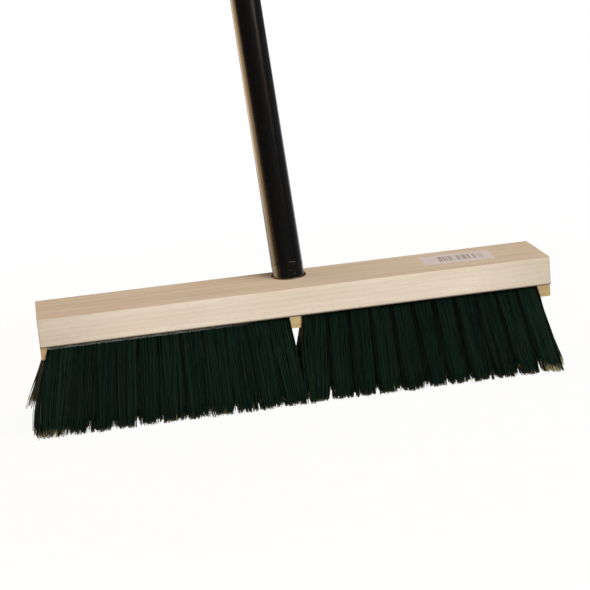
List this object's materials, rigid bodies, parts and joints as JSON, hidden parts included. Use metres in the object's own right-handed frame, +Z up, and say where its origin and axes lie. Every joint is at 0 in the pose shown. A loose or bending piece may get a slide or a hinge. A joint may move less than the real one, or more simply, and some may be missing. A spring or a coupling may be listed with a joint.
{
  "type": "push broom",
  "caption": "Push broom with two stacked wooden boards, rows of dark green bristle tufts drawn in on wire, and a long black pole that screws into a sloping socket.",
  "frame": {"origin": "middle of the sweep face, the flat plane that the bristle tips are trimmed to", "axes": "+X along the boards, +Z up from the bristle tips to the boards, +Y backwards, the way the handle leans; -Y is the front"},
  "size_m": [0.4702, 0.7822, 1.4455],
  "materials": {
    "pale_hardwood": "satin",
    "amber_hardwood": "satin",
    "bristle": "satin",
    "draw_wire": "satin",
    "zinc_steel": "satin",
    "black_lacquered_wood": "gloss",
    "black_painted_metal": "gloss",
    "label_paper": "matte"
  },
  "bodies": {
    "handle": {"handle_pole": "black_lacquered_wood", "threaded_ferrule": "black_painted_metal", "ferrule_rivet": "zinc_steel"},
    "head": {"cover_board": "pale_hardwood", "tuft_board": "amber_hardwood", "tufts_front_left": "bristle", "tufts_front_right": "bristle", "tufts_mid_front_left": "bristle", "tufts_mid_front_right": "bristle", "tufts_middle_left": "bristle", "tufts_middle_right": "bristle", "tufts_mid_rear_left": "bristle", "tufts_mid_rear_right": "bristle", "tufts_rear_left": "bristle", "tufts_rear_right": "bristle", "wires_front": "draw_wire", "wires_mid_front": "draw_wire", "wires_middle": "draw_wire", "wires_mid_rear": "draw_wire", "wires_rear": "draw_wire", "board_screws": "zinc_steel"}
  },
  "joints": [
    {"name": "head_unscrew", "type": "hinge", "parent": "handle", "child": "head", "pos_m": [0, 0.0162, 0.1016], "axis": [0, -0.4617, -0.887], "range_deg": [0, 1485]}
  ]
}
